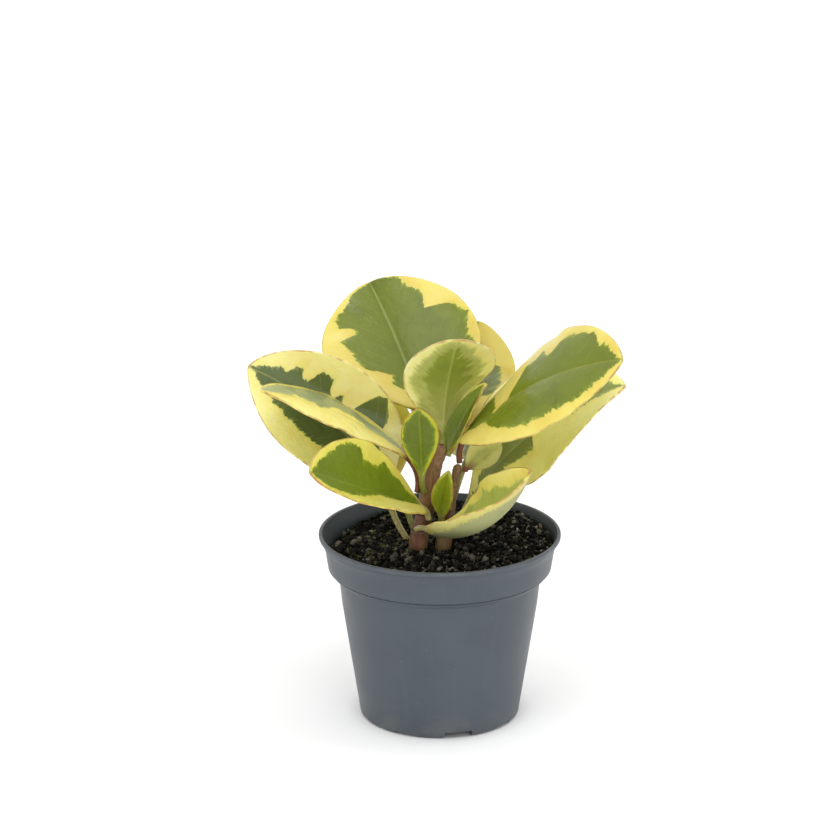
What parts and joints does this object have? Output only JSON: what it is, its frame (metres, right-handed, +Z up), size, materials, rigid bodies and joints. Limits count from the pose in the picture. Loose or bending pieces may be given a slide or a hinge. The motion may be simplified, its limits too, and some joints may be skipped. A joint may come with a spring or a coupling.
{
  "type": "potted_houseplant",
  "caption": "Variegated peperomia with thick green and cream leaves, growing in a small round grey-blue plastic nursery pot.",
  "frame": {"origin": "middle of the pot's underside, on the floor it stands on", "axes": "+Z up along the pot's axis; -Y is the front, the side the small upright leaf faces; +X is the right seen from the front"},
  "size_m": [0.1868, 0.1675, 0.209],
  "materials": {
    "pot_plastic": "matte",
    "potting_mix": "matte",
    "stem_bark": "satin",
    "leaf_flesh": "gloss"
  },
  "bodies": {
    "root": {"pot": "pot_plastic", "soil": "potting_mix", "stem_main": "stem_bark", "stem_right": "stem_bark", "leaf_top_back": "leaf_flesh", "leaf_crown": "leaf_flesh", "leaf_front_small": "leaf_flesh", "leaf_inner": "leaf_flesh", "leaf_right_bud": "leaf_flesh", "leaf_back_right": "leaf_flesh", "leaf_left_big": "leaf_flesh", "leaf_left_level": "leaf_flesh", "leaf_front_left": "leaf_flesh", "leaf_right_big": "leaf_flesh", "leaf_right_low": "leaf_flesh", "leaf_front_right": "leaf_flesh", "leaf_front_young": "leaf_flesh", "leaf_rear_left": "leaf_flesh", "leaf_rear_middle": "leaf_flesh", "leaf_rear_low": "leaf_flesh"}
  },
  "joints": []
}
